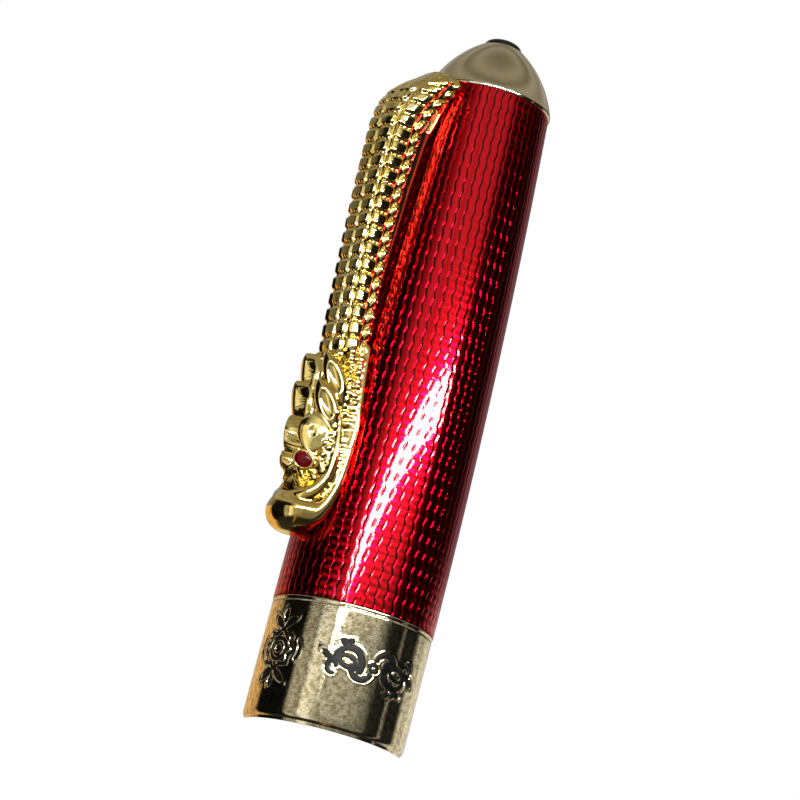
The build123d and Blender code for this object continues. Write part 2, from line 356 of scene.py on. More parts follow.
def build_barrel(material):
    """The lacquer as a thin tube, sunk a little along the flutes, with the clip's slot."""
    columns = FLUTES * STEPS_PER_FLUTE
    rows = int((BARREL_TOP - BARREL_BOTTOM) / WAVE_LENGTH * STEPS_PER_WAVE) + 1
    angle = np.linspace(-math.pi, math.pi, columns, endpoint=False)[None, :]
    height = np.linspace(BARREL_BOTTOM, BARREL_TOP, rows)[:, None]
    radius = barrel_radius(height) - FLUTE_SINK * (1 - flute_height(angle, height))
    outside = around(angle, radius, height)
    inside = around(angle, barrel_radius(height) - LACQUER, height)
    points = np.concatenate([outside.reshape(-1, 3), inside.reshape(-1, 3)])
    cell_angle = angle + math.pi / columns
    cell_height = (height[:-1] + height[1:]) / 2
    across = np.abs(barrel_radius(cell_height) * np.sin(cell_angle))
    in_slot = (across < SLOT_HALF_WIDTH) & (np.abs(cell_angle) < 1) & (cell_height > SLOT_BOTTOM)
    faces = shell_faces(rows, columns, ~in_slot)
    piece = new_mesh("barrel_lacquer", points, faces, material)
    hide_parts("lacquer_coat")


def shell_faces(rows, columns, keep, wrap=True):
    """Faces of a shell: an outer grid, an inner grid after it, and walls along every open edge."""
    outer = grid_faces(rows, columns, wrap, keep=keep)
    shift = rows * columns
    inner = [tuple(shift + i for i in reversed(face)) for face in outer]
    edges = set()
    for face in outer:
        for a, b in zip(face, face[1:] + face[:1]):
            if (b, a) in edges:
                edges.remove((b, a))
            else:
                edges.add((a, b))
    walls = [(b, a, a + shift, b + shift) for a, b in sorted(edges)]
    return outer + inner + walls


# ---------- band ornament

MOTIF_MIDDLE = 6.3
ROSETTE_ANGLE = math.radians(7)
SCROLL_ANGLE = math.radians(81)
ROSETTE_SPAN = 0.42
SCROLL_SPAN = 0.72
ENGRAVING = 0.16
INLAY_SINK = 0.045
INLAY_ROOT = 0.02
STROKE_EXTRA = 0.045
BAND_COLUMNS = 720
LIP_HEIGHT = 1.0
LIP_RADIUS = 6.85
LIP_CORNER = 0.12
BAND_BORE = 6.75


def disc(p, q, x, y, width, height, turn=0.0):
    """Signed distance, roughly in millimetres, to a turned ellipse with those half sizes."""
    c, s = math.cos(math.radians(turn)), math.sin(math.radians(turn))
    u = ((p - x) * c + (q - y) * s) / width
    v = (-(p - x) * s + (q - y) * c) / height
    return (np.sqrt(u * u + v * v) - 1) * min(width, height)


def arc_stroke(p, q, x, y, radius, start, end, thick, thin):
    """Signed distance to an arc drawn with a brush from thick at its start to thin at its end."""
    a = np.degrees(np.arctan2(q - y, p - x))
    middle = (start + end) / 2
    a = (a - middle + 180) % 360 - 180 + middle
    t = np.clip((a - start) / (end - start), 0, 1)
    b = np.radians(start + t * (end - start))
    gap = np.hypot(p - x - radius * np.cos(b), q - y - radius * np.sin(b))
    return gap - (thick + (thin - thick) * t)


def scroll_half(p, q):
    """One C-curl of the scroll with its leaf, hook and bud. Positive p leads away from the knot."""
    curl = arc_stroke(p, q, 2.35, 0.0, 1.2, -30, 205, 0.16, 0.34)
    tail = arc_stroke(p, q, 1.05, -0.35, 0.95, 200, 345, 0.16, 0.3)
    hook = arc_stroke(p, q, 3.55, -0.75, 0.62, 100, -95, 0.26, 0.1)
    leaf = disc(p, q, 2.45, -0.05, 0.95, 0.62, 14)
    vein = disc(p, q, 2.5, -0.02, 0.62, 0.3, 14)
    bud = np.minimum(disc(p, q, 3.1, 1.55, 0.34, 0.26, 20), disc(p, q, 2.55, 1.72, 0.26, 0.2, -20))
    tip = disc(p, q, 4.35, 0.15, 0.55, 0.24, 35)
    leaf = np.maximum(leaf, -vein)
    return np.minimum.reduce([curl, tail, hook, leaf, bud, tip])


def scroll(p, q):
    """Signed distance to the scroll's black parts: two C-curls either side of a knot."""
    left = scroll_half(-p, q)
    right = scroll_half(p, -q * 0.95 + 0.1)
    knot = np.maximum(disc(p, q, 0, 0, 0.5, 0.42), -disc(p, q, 0, 0, 0.24, 0.18))
    diamond = (np.abs(p - 1.9) + np.abs(q + 1.75) - 0.36) * 0.7
    return np.minimum.reduce([left, right, knot, diamond])


def rosette(p, q):
    """Signed distance to the rosette's black parts: a lobed flower in a ring, with leaves."""
    radius = np.hypot(p, q)
    angle = np.arctan2(q, p)
    lobes = 1.62 + 0.17 * np.cos(8 * angle)
    outline = np.abs(radius - lobes) - 0.17
    ring = np.abs(radius - 0.95) - 0.15
    middle = radius - 0.36
    mirrored = np.abs(p)
    top = disc(mirrored, q, 0.75, 2.45, 0.75, 0.3, 38)
    crown = disc(p, q, 0, 3.0, 0.3, 0.6)
    bottom = disc(mirrored, q, 0.8, -2.4, 0.8, 0.3, -38)
    root = disc(p, q, 0, -2.95, 0.28, 0.5)
    side = arc_stroke(mirrored, q, 0.9, 0.0, 1.55, -32, 32, 0.12, 0.12)
    return np.minimum.reduce([outline, ring, middle, top, crown, bottom, root, side])


# name, centre angle, half span in radians and shape of the four inlays
MOTIFS = [
    ("inlay_rosette_front", ROSETTE_ANGLE, ROSETTE_SPAN, rosette),
    ("inlay_rosette_back", ROSETTE_ANGLE + math.pi, ROSETTE_SPAN, rosette),
    ("inlay_scroll_right", SCROLL_ANGLE, SCROLL_SPAN, scroll),
    ("inlay_scroll_left", SCROLL_ANGLE + math.pi, SCROLL_SPAN, scroll),
]


def motif_distance(angle, height, centre, half_span, shape):
    """Signed distance to one motif over the whole band, large away from it."""
    turned_angle = (angle - centre + math.pi) % (2 * math.pi) - math.pi
    distance = shape(turned_angle * BAND_RADIUS, height - MOTIF_MIDDLE) - STROKE_EXTRA
    return np.where(np.abs(turned_angle) < half_span, distance, 5.0)


def engraving_depth(angle, height):
    """How far the band's surface is cut away, with a slightly raised rim round each cut."""
    distance = np.full(np.broadcast(angle, height).shape, 5.0)
    for _, centre, half_span, shape in MOTIFS:
        distance = np.minimum(distance, motif_distance(angle, height, centre, half_span, shape))
    cut = ENGRAVING * (1 - smoothstep(-0.09, 0.02, distance))
    rim = 0.03 * np.exp(-((distance - 0.1) / 0.08) ** 2)
    return cut - rim


def band_profile():
    """Outside of the band from the lip up, as (radius, z): a rounded lip, a wall and a flange."""
    start = [(LIP_RADIUS - 0.05, 0.0)]
    corner = [(LIP_RADIUS + LIP_CORNER * math.sin(t), LIP_CORNER - LIP_CORNER * math.cos(t))
              for t in np.radians([20, 45, 70, 90])]
    swell_reach = BAND_RADIUS - LIP_RADIUS - LIP_CORNER
    swell = [(LIP_RADIUS + LIP_CORNER + swell_reach * math.sin(t),
              LIP_HEIGHT - (LIP_HEIGHT - 0.3) * math.cos(t))
             for t in np.radians(np.linspace(8, 90, 12))]
    wall = [(BAND_RADIUS, z) for z in np.arange(LIP_HEIGHT + 0.07, 10.85, 0.07)]
    groove = [(BAND_RADIUS - 0.07, 10.93), (BAND_RADIUS - 0.07, 11.0), (BAND_RADIUS, 11.06)]
    flange = [(BAND_RADIUS, 11.2), (BAND_RADIUS - 0.04, 11.29), (BAND_RADIUS - 0.12, BAND_TOP)]
    return start + corner + swell + wall + groove + flange


def build_band(material):
    """The gilt mouth band: engraved outside, plain bore inside."""
    outside = np.array(band_profile())
    inside = np.array([(BAND_BORE, BAND_TOP), (BAND_BORE, 5.6), (BAND_BORE, 0.1),
                       (BAND_BORE + 0.05, 0)])
    angle = np.linspace(-math.pi, math.pi, BAND_COLUMNS, endpoint=False)[None, :]
    height = outside[:, 1][:, None]
    radius = outside[:, 0][:, None] - engraving_depth(angle, height)
    outer = around(angle, radius, height)
    inner = around(angle, inside[:, :1], inside[:, 1:])
    points = np.concatenate([outer, inner]).reshape(-1, 3)
    faces = grid_faces(len(outside) + len(inside), BAND_COLUMNS, wrap_rows=True)
    piece = new_mesh("engraved_band", points, faces, material, sharp_angle=50)
    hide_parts("mouth_band")


def build_inlays(material):
    """Black enamel in each motif's cuts, sunk a little below the gold."""
    height = np.arange(MOTIF_MIDDLE - 3.8, MOTIF_MIDDLE + 3.9, 0.07)[:, None]
    for name, centre, half_span, shape in MOTIFS:
        columns = int(2 * half_span * BAND_RADIUS / 0.065)
        angle = np.linspace(centre - half_span, centre + half_span, columns)[None, :]
        distance = motif_distance(angle, height, centre, half_span + 0.01, shape)
        radius = BAND_RADIUS - INLAY_SINK - 0.02 * np.exp(-np.clip(-distance, 0, 1) / 0.05)
        front = around(angle, radius, height)
        back = around(angle, BAND_RADIUS - ENGRAVING - INLAY_ROOT, height)
        near = distance < 0.0
        keep = near[:-1, :-1] | near[1:, :-1] | near[:-1, 1:] | near[1:, 1:]
        points = np.concatenate([front.reshape(-1, 3), back.reshape(-1, 3)])
        faces = shell_faces(len(height), columns, keep, wrap=False)
        piece = new_mesh(name + "_enamel", points, faces, material)
        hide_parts(name)


# ---------- finial

JEWEL_GIRDLE = 0.22
JEWEL_RAISE = 0.15


def build_finial(gold, black):
    """The domed end-piece with its bevelled foot, and the black stone set in its tip."""
    foot = [(0.0, FINIAL_BOTTOM), (5.2, FINIAL_BOTTOM), (FINIAL_RADIUS - 0.14, FINIAL_BOTTOM),
            (FINIAL_RADIUS - 0.04, FINIAL_BOTTOM + 0.04), (FINIAL_RADIUS, FINIAL_BOTTOM + 0.13)]
    dome = arc_through((FINIAL_RADIUS, 61.47), (4.73, 64.06), (2.0, FINIAL_TOP), 48)
    seat = [(1.93, FINIAL_TOP + 0.03), (1.84, FINIAL_TOP + 0.01), (1.79, FINIAL_TOP - 0.06),
            (1.77, FINIAL_TOP - 0.5), (0.9, FINIAL_TOP - 0.56), (0.0, FINIAL_TOP - 0.56)]
    piece = turned("finial_dome", foot + dome + seat, gold, 320, sharp_angle=40)
    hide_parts("finial")
    girdle_top = FINIAL_TOP + JEWEL_GIRDLE
    dome_height = JEWEL_TOP + JEWEL_RAISE - girdle_top
    girdle = [(0.0, JEWEL_BOTTOM), (0.9, JEWEL_BOTTOM), (JEWEL_RADIUS - 0.1, JEWEL_BOTTOM),
              (JEWEL_RADIUS, JEWEL_BOTTOM + 0.1), (JEWEL_RADIUS, FINIAL_TOP),
              (JEWEL_RADIUS, girdle_top)]
    cabochon = [(JEWEL_RADIUS * math.cos(t), girdle_top + dome_height * math.sin(t))
                for t in np.radians(np.linspace(6, 90, 22))]
    stone = turned("jewel_cabochon", girdle + cabochon, black, 192)
    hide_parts("finial_jewel")


# ---------- clip: distance to its shape

CLEARANCE = 0.4
ROW_PITCH_NECK = 1.56
ROW_PITCH_TOP = 1.28
SCALES_FROM = 33.2
SCALES_TO = 61.5

# z, half width, centre, crest and squareness of the clip's section
SECTIONS = np.array([
    (15.0, 2.0, 8.2, 9.6, 2.2),
    (24.0, 2.9, 7.8, 9.6, 2.2),
    (30.0, 2.8, 7.7, 9.6, 2.4),
    (34.0, 2.4, 7.7, 9.55, 3.6),
    (38.0, 2.2, 7.9, 9.75, 5.5),
    (44.0, 2.1, 8.2, 10.2, 6.0),
    (50.0, 2.15, 8.3, 10.6, 5.5),
    (55.5, 2.35, 8.1, 10.75, 4.0),
    (57.6, 2.65, 7.4, 10.5, 3.0),
    (59.1, 2.95, 6.5, 9.8, 2.6),
    (60.3, 3.35, 5.9, 8.7, 2.4),
    (61.2, 3.45, 5.6, 7.6, 2.2),
    (62.2, 3.2, 5.5, 6.6, 2.2),
])


def smooth_min(a, b, blend):
    """The smaller of a and b, rounded over where they are within blend of each other."""
    h = np.clip(0.5 + 0.5 * (b - a) / blend, 0, 1)
    return b + (a - b) * h - blend * h * (1 - h)


def smooth_max(a, b, blend):
    """The larger of a and b, rounded over where they are within blend of each other."""
    return -smooth_min(-a, -b, blend)


def section(height):
    """Half width, centre, crest and squareness of the clip at a height."""
    return [np.interp(height, SECTIONS[:, 0], SECTIONS[:, k]) for k in (1, 2, 3, 4)]


def row_count(height):
    """How many rows of scales lie below a height."""
    t = np.clip(height, SCALES_FROM, SCALES_TO) - SCALES_FROM
    span = SCALES_TO - SCALES_FROM
    return t / ROW_PITCH_NECK + t * t * (1 / ROW_PITCH_TOP - 1 / ROW_PITCH_NECK) / (2 * span)


def pillow(u, v, edge, roundness):
    """A rounded-square cushion over u and v from -1 to 1: flat on top with a soft shoulder."""
    reach = (np.abs(u) ** roundness + np.abs(v) ** roundness) ** (1 / roundness)
    return 1 - smoothstep(edge, 1.0, reach)


# start, end and height of each column of scales, as angles round the clip's middle from its crest
COLUMNS = [(0.0, 0.74, 0.30), (0.74, 1.42, 0.34), (1.48, 1.92, 0.34)]
BEAD_COLUMN_WIDTH = 0.5
SEAM_RIDGE = 0.2
SEAM_RIPPLES = 38
OVERHANG = 0.045


def shoulder_rows(height):
    """Extra rows over the top shoulder, where the crest runs inwards more than up."""
    return np.interp(height, [57.0, 59.1, 60.3, 61.2, 62.2], [0, 0.3, 0.95, 1.7, 2.6])


def scale_relief(x, out, height, centre):
    """How far the scales stand proud: rows of cushions in columns round the clip's back, with a
    crinkled seam between the rows, and a column of beads along each edge."""
    angle = np.abs(np.arctan2(x, out - centre))
    over = shoulder_rows(height) * (1 - 0.6 * smoothstep(0.4, 1.6, angle))
    rows = row_count(height - 0.10 * angle ** 2) + over
    u = 2 * (rows - np.floor(rows)) - 1
    ripple = 0.65 + 0.35 * np.sin(SEAM_RIPPLES * angle + 2.4 * np.round(rows))
    relief = np.zeros_like(x)
    for low, high, top in COLUMNS:
        v = (2 * angle - low - high) / (high - low)
        if high - low < BEAD_COLUMN_WIDTH:
            raised = top * pillow(u, v, 0.3, 2.6)
        else:
            seam = SEAM_RIDGE * ripple * np.exp(-((1 - np.abs(u)) / 0.17) ** 2) * (1 - v ** 4)
            raised = top * pillow(u, v, 0.64, 6) + seam
        relief = np.where(np.abs(v) <= 1, raised, relief)
    fade_in = smoothstep(SCALES_FROM - 0.3, SCALES_FROM + 0.8, height)
    fade_out = 1 - 0.45 * smoothstep(57.5, 61.0, height)
    return relief * fade_in * fade_out


def body_distance(x, out, height):
    """Signed distance to the clip's scaled body and its flare at the finial."""
    half_width, centre, crest, square = section(height)
    half_depth = crest - centre
    u = np.abs(x) / (half_width * (1 + OVERHANG * (out - centre)))
    v = np.abs(out - centre) / half_depth
    reach = (u ** square + v ** square + 1e-9) ** (1 / square)
    shell = (reach - 1) * np.minimum(half_width, half_depth) + 0.16
    shell = shell - scale_relief(x, out, height, centre)
    top = height - (62.0 - 0.10 * x * x)
    bottom = SCALES_FROM - 1.5 - height
    return smooth_max(smooth_max(shell, top, 0.5), bottom, 0.4)


def ellipsoid(p, centre, sizes, axes=None):
    """Signed distance, nearly, to an ellipsoid. axes holds its own directions in rows."""
    q = p - np.array(centre)
    if axes is not None:
        q = q @ np.array(axes).T
    sizes = np.array(sizes)
    k0 = np.sqrt(((q / sizes) ** 2).sum(-1)) + 1e-9
    k1 = np.sqrt(((q / sizes ** 2) ** 2).sum(-1)) + 1e-9
    return k0 * (k0 - 1) / k1


def smooth_path(knots, steps=6):
    """A Catmull-Rom curve through the knots, as more knots."""
    knots = np.array(knots, float)
    padded = np.concatenate([[2 * knots[0] - knots[1]], knots, [2 * knots[-1] - knots[-2]]])
    path = []
    for a, b, c, d in zip(padded[:-3], padded[1:-2], padded[2:-1], padded[3:]):
        for t in np.linspace(0, 1, steps, endpoint=False):
            cubic = 2 * a - 5 * b + 4 * c - d, 3 * b - a - 3 * c + d
            path.append(0.5 * (2 * b + (c - a) * t + cubic[0] * t ** 2 + cubic[1] * t ** 3))
    return path + [knots[-1]]


def rope(p, knots):
    """Signed distance to a smooth tapered roll through knots of (x, out, z, radius)."""
    best = np.full(len(p), 9.0)
    knots = smooth_path(knots)
    for a, b in zip(knots[:-1], knots[1:]):
        start, along = np.array(a[:3]), np.array(b[:3]) - np.array(a[:3])
        t = np.clip((p - start) @ along / (along @ along), 0, 1)
        gap = np.linalg.norm(p - start - t[:, None] * along, axis=1)
        best = np.minimum(best, gap - (a[3] + (b[3] - a[3]) * t))
    return best


def leaf(p, centre, sizes, axes):
    """Signed distance, nearly, to a pointed leaf, which is where two long rounds cross, with a
    dish in its face."""
    side = np.array(axes[0]) * sizes[0] * 0.75
    wide = (sizes[0] * 1.75, sizes[1] * 1.5, sizes[2] * 1.25)
    first = ellipsoid(p, np.array(centre) + side, wide, axes)
    second = ellipsoid(p, np.array(centre) - side, wide, axes)
    dish_centre = np.array(centre) + np.array(axes[2]) * sizes[2] * 0.95
    dish = ellipsoid(p, dish_centre, (sizes[0] * 0.55, sizes[1] * 0.72, sizes[2] * 0.42), axes)
    return smooth_max(smooth_max(first, second, 0.06), -dish, 0.05)


def torus(p, centre, ring_x, ring_y, tube, axes):
    """Signed distance, nearly, to an oval ring lying across facing."""
    q = (p - np.array(centre)) @ np.array(axes).T
    flat = np.sqrt((q[:, 0] / ring_x) ** 2 + (q[:, 1] / ring_y) ** 2) + 1e-9
    gap = (flat - 1) * min(ring_x, ring_y)
    return np.sqrt(gap ** 2 + q[:, 2] ** 2) - tube


def frame_of(facing, upright=(0, 0, 1)):
    """Three directions in rows: sideways, up and facing."""
    facing = np.array(facing, float)
    facing = facing / np.linalg.norm(facing)
    side = np.cross(np.array(upright, float), facing)
    side = side / np.linalg.norm(side)
    return [side, np.cross(facing, side), facing]


EYE_CENTRE = (1.62, 10.25, 22.8)
EYE_AXES = frame_of((0.60, 0.74, -0.30), (0.35, 0, 1))

# centre, half sizes and how softly each solid runs into the others
HEAD_SOLIDS = [
    ((0, 8.2, 27.5), (2.75, 1.35, 6.5), 0.5),
    ((0, 9.2, 18.35), (2.75, 1.95, 2.0), 0.5),
    ((0, 8.3, 18.5), (3.1, 1.5, 2.0), 0.6),
    ((0, 8.7, 21.8), (1.9, 1.0, 2.6), 0.5),
    ((1.2, 9.4, 23.0), (1.1, 0.9, 1.3), 0.3),
    ((2.0, 8.2, 24.0), (1.2, 1.1, 3.2), 0.4),
    ((0.0, 9.6, 25.6), (0.45, 0.35, 1.3), 0.15),
]

# centre, half sizes (sideways, up, outwards), facing, upright and softness of brows and leaves
HEAD_BROWS = [
    ((1.65, 9.8, 25.2), (1.25, 1.5, 0.8), (0.66, 0.74, -0.1), (-0.3, 0, 1), 0.15),
    ((1.95, 10.15, 25.35), (1.42, 1.8, 0.38), (0.76, 0.65, -0.08), (-0.3, 0, 1), 0.12),
]
HEAD_LEAVES = [
    ((2.15, 9.55, 30.6), (1.0, 2.0, 0.75), (0.78, 0.62, -0.12), (-0.35, 0.45, 1), 0.05),
    ((2.25, 9.7, 28.1), (1.05, 1.9, 0.75), (0.78, 0.62, -0.15), (-0.35, 0.45, 1), 0.05),
    ((0.95, 9.75, 31.3), (0.6, 1.5, 0.55), (0.25, 1, -0.1), (0.1, 0, 1), 0.05),
    ((1.0, 9.7, 28.9), (0.6, 1.5, 0.55), (0.25, 1, -0.1), (0.1, 0, 1), 0.05),
    ((0.3, 9.45, 30.3), (0.3, 1.4, 0.4), (0.05, 1, 0), (0, 0, 1), 0.05),
    ((0.3, 9.45, 27.9), (0.3, 1.4, 0.4), (0.05, 1, 0), (0, 0, 1), 0.05),
]

# centre, half sizes, facing and upright of the hollow in each brow
BROW_DIMPLE = ((2.3, 10.5, 25.35), (0.42, 0.62, 0.2), (0.76, 0.65, -0.08), (-0.3, 0, 1))

# knots of (x, out, z, radius) of the rolls, ridges and wrinkles, with how softly each runs in
HEAD_ROPES = [
    ([(2.4, 7.2, 34.2, 0.3), (2.85, 7.2, 31.0, 0.4), (3.25, 7.0, 28.0, 0.42),
      (3.35, 6.95, 25.0, 0.42), (3.2, 7.0, 22.0, 0.5), (2.75, 7.4, 19.8, 0.7),
      (2.2, 8.0, 18.5, 1.0)], 0.12),
    ([(2.9, 8.4, 27.2, 0.25), (3.05, 8.15, 24.6, 0.42), (3.0, 8.2, 22.2, 0.5),
      (2.6, 8.7, 20.6, 0.65), (1.8, 9.4, 19.7, 0.8), (0.9, 9.8, 19.3, 0.8)], 0.12),
    ([(2.35, 9.75, 32.0, 0.12), (2.6, 9.2, 30.2, 0.16), (2.9, 8.6, 28.6, 0.14)], 0.05),
    ([(0.15, 9.9, 22.6, 0.2), (0.8, 10.0, 22.1, 0.26), (1.5, 9.75, 21.3, 0.2)], 0.08),
    ([(0.15, 9.75, 21.5, 0.2), (0.8, 9.85, 21.0, 0.26), (1.3, 9.7, 20.5, 0.2)], 0.08),
    ([(1.5, 9.6, 22.3, 0.2), (2.1, 9.25, 21.7, 0.25), (2.5, 8.8, 21.2, 0.2)], 0.08),
    ([(2.4, 9.3, 23.4, 0.2), (2.7, 8.95, 22.6, 0.22), (2.8, 8.7, 22.0, 0.18)], 0.08),
]


def head_beads():
    """Small rounds of the frill on the cheek and round the neck, as (x, out, z, radius)."""
    random = np.random.default_rng(7)
    beads = []
    for k in range(10):
        t = k / 9
        shake = random.uniform(-0.12, 0.12, 6)
        x = 2.5 + 0.35 * math.sin(2.6 * t)
        beads.append((x + shake[0], 8.7 - 0.6 * t + shake[1], 33.4 - 5.6 * t, 0.36 + shake[2]))
        height = 33.0 - 6.0 * t + shake[3]
        beads.append((x + 0.25, 7.9 - 0.4 * t + shake[4], height, 0.38 + shake[5] / 2))
    for k in range(8):
        t = k / 7
        shake = random.uniform(-0.1, 0.1, 3)
        x = 2.95 - 0.1 * t + shake[0]
        beads.append((x, 8.9 - 0.2 * t + shake[1], 27.6 - 4.6 * t, 0.26 + shake[2]))
        beads.append((2.7 + shake[1], 9.15 + shake[2], 27.2 - 3.6 * t, 0.22 + shake[0]))
    for k in range(5):
        a = 0.2 + 0.42 * k
        beads.append((2.3 * math.sin(a), 7.9 + 1.75 * math.cos(a), 33.1, 0.4))
    return beads


def crinkle(p):
    """Fine chiselled ripples on the crown and cheek, none on the brows, snout and lips."""
    x, out, height = p[:, 0], p[:, 1], p[:, 2]
    coarse = np.sin(9 * height + 4 * out) * np.sin(8 * x - 5 * out)
    fine = np.sin(14 * out + 6 * x - 7 * height)
    crown = smoothstep(20.4, 21.2, height) * (1 - smoothstep(33.4, 34.2, height))
    return 0.05 * (coarse + 0.6 * fine) * crown


def level_with(p, height, reach):
    """Which points lie within reach of a height."""
    return np.abs(p[:, 2] - height) < reach


def head_distance(p):
    """Signed distance to the head, for points (n, 3) of |x|, out and z."""
    best = np.full(len(p), 9.0)

    def join(near, gap, blend):
        best[near] = smooth_min(best[near], gap, blend)

    for centre, sizes, blend in HEAD_SOLIDS:
        near = level_with(p, centre[2], max(sizes) + 1.0)
        join(near, ellipsoid(p[near], centre, sizes), blend)
    best -= crinkle(p)
    for shape, rows in ((ellipsoid, HEAD_BROWS), (leaf, HEAD_LEAVES)):
        for centre, sizes, facing, upright, blend in rows:
            near = level_with(p, centre[2], max(sizes) + 1.0)
            join(near, shape(p[near], centre, sizes, frame_of(facing, upright)), blend)
    for knots, blend in HEAD_ROPES:
        heights = [k[2] for k in knots]
        near = (p[:, 2] > min(heights) - 1.5) & (p[:, 2] < max(heights) + 1.5)
        join(near, rope(p[near], knots), blend)
    for x, out, height, radius in head_beads():
        near = level_with(p, height, radius + 0.6)
        join(near, np.linalg.norm(p[near] - np.array((x, out, height)), axis=1) - radius, 0.08)
    centre, sizes, facing, upright = BROW_DIMPLE
    near = level_with(p, centre[2], 1.5)
    dimple = ellipsoid(p[near], centre, sizes, frame_of(facing, upright))
    best[near] = smooth_max(best[near], -dimple, 0.08)
    near = level_with(p, EYE_CENTRE[2], 2.0)
    socket = ellipsoid(p[near], EYE_CENTRE, (0.86, 0.68, 0.5), EYE_AXES)
    best[near] = smooth_max(best[near], -socket, 0.06)
    join(near, torus(p[near], EYE_CENTRE, 0.93, 0.76, 0.14, EYE_AXES), 0.08)
    return best


def clip_distance(p):
    """Signed distance to the whole clip casting, kept clear of the barrel."""
    x, out, height = p[:, 0], p[:, 1], p[:, 2]
    best = body_distance(x, out, height)
    low = height < 36.5
    mirrored = np.stack([np.abs(x[low]), out[low], height[low]], axis=1)
    best[low] = smooth_min(best[low], head_distance(mirrored), 0.15)
    lift = 0.3 * smoothstep(36, 41, height) * (1 - smoothstep(54, 57, height))
    inside = barrel_radius(height) + CLEARANCE + lift - np.hypot(x, out)
    return smooth_max(best, inside, 0.12)


# ---------- clip: mesh

SPINE_BOTTOM = 18.4
SPINE_TOP = 60.6
CLIP_COLUMNS = 264
CLIP_ROWS = 380
CAP_ROWS = 26

# height, and how far out from the clip's underside the line inside the clip runs there
SPINE = np.array([(15, 1.2), (18.5, 1.4), (30, 1.0), (44, 1.2), (55, 1.4), (59, 1.1), (60.6, 0.7),
                  (62, 0.5)])


def spine_out(height):
    """Distance from the axis of the line inside the clip that the surface is looked up from."""
    return barrel_radius(height) + CLEARANCE + np.interp(height, SPINE[:, 0], SPINE[:, 1])


def clip_rays():
    """Starting points and directions of the lines that find the surface, row by row."""
    low_tilt = np.linspace(-0.5, 0, CAP_ROWS, endpoint=False)[1:] * math.pi
    high_tilt = np.linspace(0, 0.5, CAP_ROWS + 1)[1:-1] * math.pi
    tilt = np.concatenate([low_tilt, np.zeros(CLIP_ROWS), high_tilt])
    spine = np.linspace(SPINE_BOTTOM, SPINE_TOP, CLIP_ROWS)
    height = np.concatenate([np.full(len(low_tilt), SPINE_BOTTOM), spine,
                             np.full(len(high_tilt), SPINE_TOP)])
    turn = np.linspace(0, 2 * math.pi, CLIP_COLUMNS, endpoint=False)
    start = np.stack([0 * height, spine_out(height), height], axis=-1)
    flat = np.cos(tilt)[:, None]
    parts = np.broadcast_arrays(flat * np.sin(turn), flat * np.cos(turn), np.sin(tilt)[:, None])
    way = np.stack(parts, axis=-1)
    start = np.broadcast_to(start[:, None, :], way.shape)
    return start.reshape(-1, 3), way.reshape(-1, 3), len(tilt)


def find_surface(start, way, furthest=6.5, steps=44):
    """The first point of the clip met on the way in along each line."""
    reach = np.full(len(start), furthest)
    for _ in range(steps):
        distance = clip_distance(start + reach[:, None] * way)
        reach = np.maximum(reach - 0.7 * distance, 0.02)
    return start + reach[:, None] * way


def build_clip(gold):
    """The cast reptile: a closed skin found from the distance functions above."""
    start, way, rows = clip_rays()
    points = find_surface(start, way)
    tips = find_surface(np.array([start[0], start[-1]]), np.array([(0, 0, -1.0), (0, 0, 1.0)]))
    points = np.concatenate([points, tips])
    points = np.stack([points[:, 0], -points[:, 1], points[:, 2]], axis=1)
    faces = grid_faces(rows, CLIP_COLUMNS) + end_fans(rows, CLIP_COLUMNS)
    piece = new_mesh("reptile_clip", points, faces, gold, body="clip", sharp_angle=180)
    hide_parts("clip_casting")


# the tang's outline as (out, z), from the pin to the casting
TANG_OUTLINE = [(3.35, 59.55), (3.35, 60.25), (3.6, 60.5), (6.9, 60.75), (6.9, 59.1), (3.6, 59.3)]
TANG_HALF_WIDTH = 1.0
TANG_BEVEL = 0.08
HINGE_HEIGHT = 59.9


def build_tang(gold):
    """The clip's tang: a bevelled plate that runs through the slot to the hinge pin."""
    half, edge = TANG_HALF_WIDTH, TANG_BEVEL
    points = []
    for x, inset in ((-half, edge), (-half + edge, 0), (half - edge, 0), (half, edge)):
        for out, height in TANG_OUTLINE:
            at_pin = 1 if out < 5 else 0
            points.append((x, -(out + inset * at_pin), height + inset * (HINGE_HEIGHT - height)))
    count = len(TANG_OUTLINE)
    faces = [tuple(range(count))]
    faces.append(tuple(reversed(range(3 * count, 4 * count))))
    for ring in range(3):
        for j in range(count):
            k = (j + 1) % count
            a, b = ring * count, (ring + 1) * count
            faces.append((a + k, a + j, b + j, b + k))
    piece = new_mesh("clip_tang", points, faces, gold, body="clip", sharp_angle=30)


def build_eyes(red):
    """The two red stones, set in the sockets under the brows."""
    for name, side in (("clip_eye_right", 1), ("clip_eye_left", -1)):
        points, faces = stone_mesh(28, 20)
        points = points * np.array((0.86, 0.69, 0.36))
        points = points @ np.array(EYE_AXES) + np.array(EYE_CENTRE)
        points = np.stack([side * points[:, 0], -points[:, 1], points[:, 2]], axis=1)
        if side < 0:
            faces = [tuple(reversed(face)) for face in faces]
        piece = new_mesh(name + "_stone", points, faces, red, body="clip", sharp_angle=60)
        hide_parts(name)


def stone_mesh(around_count, up_count):
    """A round stone, flatter behind than in front, as unit points and faces."""
    up = np.linspace(-math.pi / 2, math.pi / 2, up_count)[1:-1, None]
    turn = np.linspace(0, 2 * math.pi, around_count, endpoint=False)[None, :]
    depth = np.sin(up) + 0 * turn
    depth = np.where(depth < 0, depth * 0.6, depth)
    girth = np.cos(up) ** 0.8
    points = np.stack([girth * np.cos(turn), girth * np.sin(turn), depth], axis=-1).reshape(-1, 3)
    points = np.concatenate([points, [(0, 0, -0.6), (0, 0, 1.0)]])
    rows = up_count - 2
    return points, grid_faces(rows, around_count) + end_fans(rows, around_count)


# ---------- inner parts

